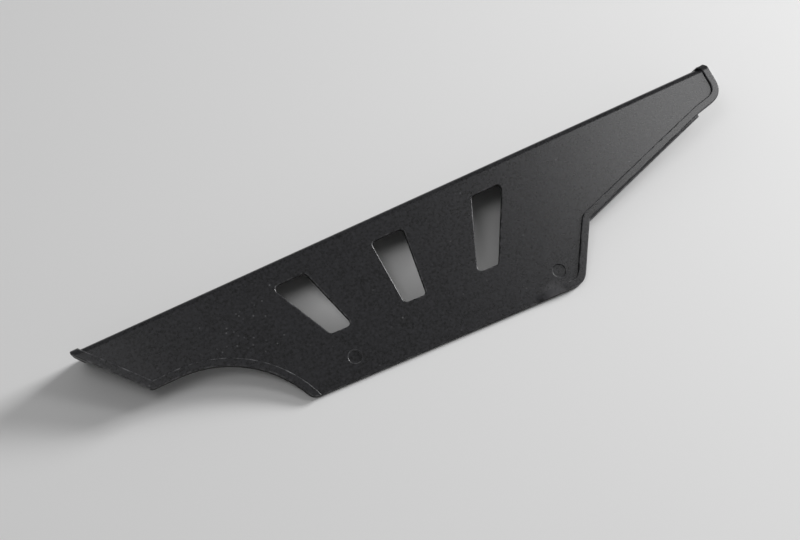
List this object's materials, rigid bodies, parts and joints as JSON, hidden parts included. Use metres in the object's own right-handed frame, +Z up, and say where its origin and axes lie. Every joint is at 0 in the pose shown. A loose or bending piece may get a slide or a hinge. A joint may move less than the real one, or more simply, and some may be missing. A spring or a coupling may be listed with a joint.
{
  "type": "motorcycle chain guard",
  "caption": "L-section plastic chain guard: a side panel with slanted windows, an arch, a slim tail, a raised edge rim and a top flange over the chain.",
  "frame": {"origin": "on the floor, under the middle of the guard's box as it lies with its outer face up", "axes": "+X along the top edge from the front end to the tail, +Y across the guard from its bottom edge to its top flange, +Z up; the panel leans 19.4 degrees down towards -Y, and the top edge rises 0.9 degrees towards the tail"},
  "size_m": [0.4018, 0.093, 0.0332],
  "materials": {
    "moulding": "matte charcoal polypropylene with a fine moulded grain, lightly scuffed"
  },
  "bodies": {
    "root": {"chain_guard": "moulding"}
  },
  "joints": []
}
